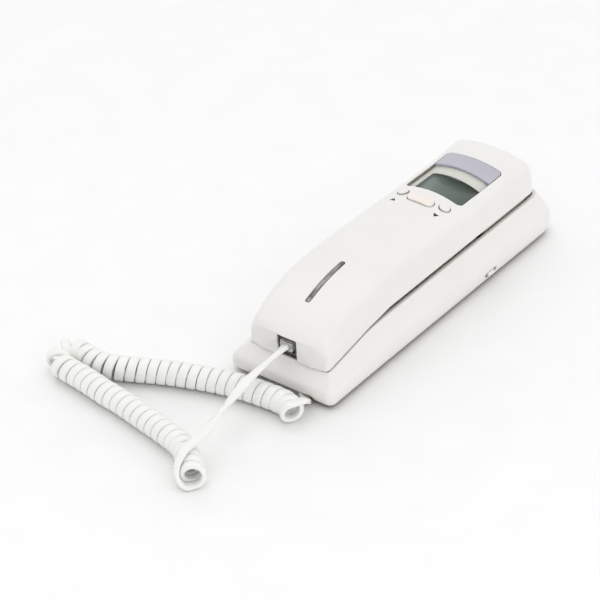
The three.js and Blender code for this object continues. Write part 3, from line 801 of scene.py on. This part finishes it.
def smooth_line(controls, step):
    """A smooth line through rows of numbers, evenly spaced by its first three."""
    rows = np.array(controls, float)
    padded = np.vstack([2 * rows[:1] - rows[1:2], rows, 2 * rows[-1:] - rows[-2:-1]])
    t = np.linspace(0, 1, 12, endpoint=False)[:, None]
    pieces = [
        0.5 * (2 * b + (c - a) * t + (2 * a - 5 * b + 4 * c - d) * t ** 2
               + (3 * b - a - 3 * c + d) * t ** 3)
        for a, b, c, d in zip(padded, padded[1:], padded[2:], padded[3:])
    ]
    line = np.vstack([*pieces, rows[-1:]])
    along = np.concatenate([[0], np.cumsum(np.linalg.norm(np.diff(line[:, :3], axis=0), axis=1))])
    places = np.linspace(0, along[-1], int(along[-1] / step) + 1)
    return np.stack([np.interp(places, along, column) for column in line.T], axis=1)


def unit(rows):
    return rows / np.linalg.norm(rows, axis=-1, keepdims=True)


def coil_controls():
    """Points and outward directions of the entry and of every turn of the coil."""
    axis = smooth_line([(x, y, COIL_RADIUS) for x, y in COIL_ROUTE], 0.5)
    length = 0.5 * (len(axis) - 1)
    places = np.linspace(0, length, len(axis))
    ahead = unit(np.gradient(axis, axis=0))
    right = unit(np.cross(ahead, (0, 0, 1)))
    bend = places[np.argmin(axis[:, 0])]
    tightness = 1 / (1 + 0.55 * np.exp(-((places - bend) / 11) ** 2))
    wound = np.concatenate([[0], np.cumsum(tightness[1:])])
    whole = COIL_TURNS * 2 * math.pi + (COIL_STOP - COIL_START) % (2 * math.pi)
    angles = COIL_START + whole * wound / wound[-1]
    radius = COIL_RADIUS - CORD_THICKNESS / 2 - 0.05

    def at(place, angle, away):
        side = np.array([np.interp(place, places, column) for column in right.T])
        middle = np.array([np.interp(place, places, column) for column in axis.T])
        middle = middle + ahead[0] * min(place, 0)
        out = side * math.cos(angle) + np.array((0, 0, 1)) * math.sin(angle)
        return [*(middle + out * away), *out]

    entry = [at(place, math.radians(angle), away) for place, angle, away in ENTRY]
    count = int(whole / (2 * math.pi) * TURN_STEPS)
    turns = np.linspace(COIL_START, COIL_START + whole, count)
    coil = [at(np.interp(angle, angles, places), angle, radius) for angle in turns]
    return entry + coil


def lead_controls():
    """Points of the lead, and its flat side's direction as it twists."""
    points = np.array(LEAD_POINTS, float)
    ahead = unit(np.gradient(points, axis=0))
    controls = []
    for point, way, roll in zip(points, ahead, np.radians(LEAD_ROLLS)):
        up = unit(np.array((0, 0, 1)) - way * way[2])
        side = np.cross(way, up)
        controls.append([*point, *(up * math.cos(roll) + side * math.sin(roll))])
    return controls


def make_cord():
    """The whole handset cord as one flat cord: lead, coil and tail."""
    tail = [[*point, 0, 0.25, 1] for point in TAIL_POINTS]
    line = smooth_line(lead_controls() + coil_controls() + tail, CORD_STEP)
    centres, out = line[:, :3], line[:, 3:]
    ahead = unit(np.gradient(centres, axis=0))
    out = unit(out - ahead * (out * ahead).sum(1, keepdims=True))
    side = np.cross(ahead, out)
    rings = []
    for middle, outward, sideways in zip(centres, out, side):
        ring = []
        for i in range(CORD_SIDES):
            turn = 2 * math.pi * i / CORD_SIDES
            across = math.copysign(abs(math.cos(turn)) ** 0.42, math.cos(turn)) * CORD_WIDTH / 2
            up = math.copysign(abs(math.sin(turn)) ** 0.6, math.sin(turn)) * CORD_THICKNESS / 2
            ring.append(middle + sideways * across + outward * up)
        rings.append(ring)
    cord = loft("handset_cord", rings, MATERIALS["cord_cover"])
    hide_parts("cord_lead", "coil_near", "coil_bend", "coil_far", "cord_tail")
    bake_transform(cord)


# ------------------------------------------------------------------ plug contacts and key legends

def make_plug_contacts():
    """Four gold blades in the nose of each modular plug."""
    blade, pitch, length = 0.3, 1.02, 3.2
    for node, body in (("handset_plug", "handset"), ("base_plug", "base")):
        low, high = extent(node)
        top = high[2] - 0.5
        for i in range(4):
            x = (low[0] + high[0]) / 2 + (i - 1.5) * pitch
            outline = [
                (high[1] - length, top - 2.2), (high[1] - 0.5, top - 2.2),
                (high[1] - 0.5, top - 0.4), (high[1] - 0.9, top), (high[1] - length, top),
            ]
            rings = [[(x + side, y, z) for y, z in outline] for side in (-blade / 2, blade / 2)]
            contact = loft(f"{node}_contact_{i + 1}", rings, MATERIALS["contact_metal"])
            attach(contact, body)


def make_legends():
    """The digit on the lower face of each dial key, read from below."""
    legends = {f"key_{digit}": str(digit) for digit in range(10)}
    legends["key_star"] = "*"
    legends["key_hash"] = "#"
    for node, sign in legends.items():
        low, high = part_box(node)
        curve = bpy.data.curves.new(f"legend_{node}", "FONT")
        curve.body = sign
        curve.size = 0.0052
        curve.extrude = 0.00004
        curve.align_x = "CENTER"
        curve.align_y = "CENTER"
        text = bpy.data.objects.new("legend_source", curve)
        bpy.context.scene.collection.objects.link(text)
        bpy.context.view_layer.update()
        mesh = bpy.data.meshes.new_from_object(text)
        bpy.data.objects.remove(text)
        mesh.materials.clear()
        mesh.materials.append(INK)
        legend = bpy.data.objects.new(f"legend_{node}", mesh)
        bpy.context.scene.collection.objects.link(legend)
        legend.location = ((low[0] + high[0]) / 2, (low[1] + high[1]) / 2, low[2] - 0.00003)
        legend.rotation_euler = (0, math.pi, 0)
        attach(legend, node)


# ------------------------------------------------------------------ carried-over CAD nodes

BEVELS = {
    "bottom_cover": 0.4, "face_shell": 0.5, "hook_plunger": 0.7, "ringer_knob": 0.35,
    "lcd_frame": 0.3, "lcd_glass": 0.1, "handset_plug": 0.35, "base_plug": 0.35,
    "handset_jack": 0.25, "base_cord_jack": 0.25, "line_jack": 0.25, "keypad_mat": 0.2,
    "base_weight": 0.5, "handset_weight": 0.5, "ringer_disc": 0.4, "receiver": 0.4,
    "microphone": 0.3, "lamp_led": 0.3, "hook_contact": 0.1,
}
DIAL_KEY_BEVEL = 0.7
FOOT_BEVEL = 0.4
SMALL_BEVEL = 0.15


def bevel_of(node):
    if node.startswith("key_"):
        return DIAL_KEY_BEVEL
    if node.startswith("foot_"):
        return FOOT_BEVEL
    return BEVELS.get(node, SMALL_BEVEL)


def finish_cad_nodes():
    """Softened edges and a real finish for every CAD node that stays in view."""
    slots = {part["node"]: part["material_slot"] for part in frame["record"]["subparts"]}
    special = {"face_shell": FACE, "handset_plug": PLUG, "base_plug": PLUG}
    for node, piece in nodes.items():
        if piece.hide_render:
            continue
        dress(piece, special.get(node, MATERIALS[slots[node]]))
        weld = piece.modifiers.new("weld", "WELD")
        weld.merge_threshold = 0.02 * MM
        bevel = piece.modifiers.new("edges", "BEVEL")
        bevel.width = bevel_of(node) * MM
        bevel.segments = 3
        bevel.limit_method = "ANGLE"
        bevel.angle_limit = math.radians(38)
        bevel.harden_normals = True


def add_floor():
    """A plain pale floor just under the feet."""
    outline = rounded_outline(6000, 6000, 800, 0, 0)
    rings = [[(x, y, z) for x, y in outline] for z in (-20, -0.05)]
    floor = loft("floor", rings, moulded("floor", (0.96, 0.96, 0.96), 0.7, grain=4))


add_camera()
add_studio()
make_cord()
make_cradle()
make_back_shell()
make_display()
make_window_border()
make_back_keys()
make_lamp_strip()
make_symbols()
make_plug_contacts()
make_legends()
finish_cad_nodes()
add_floor()
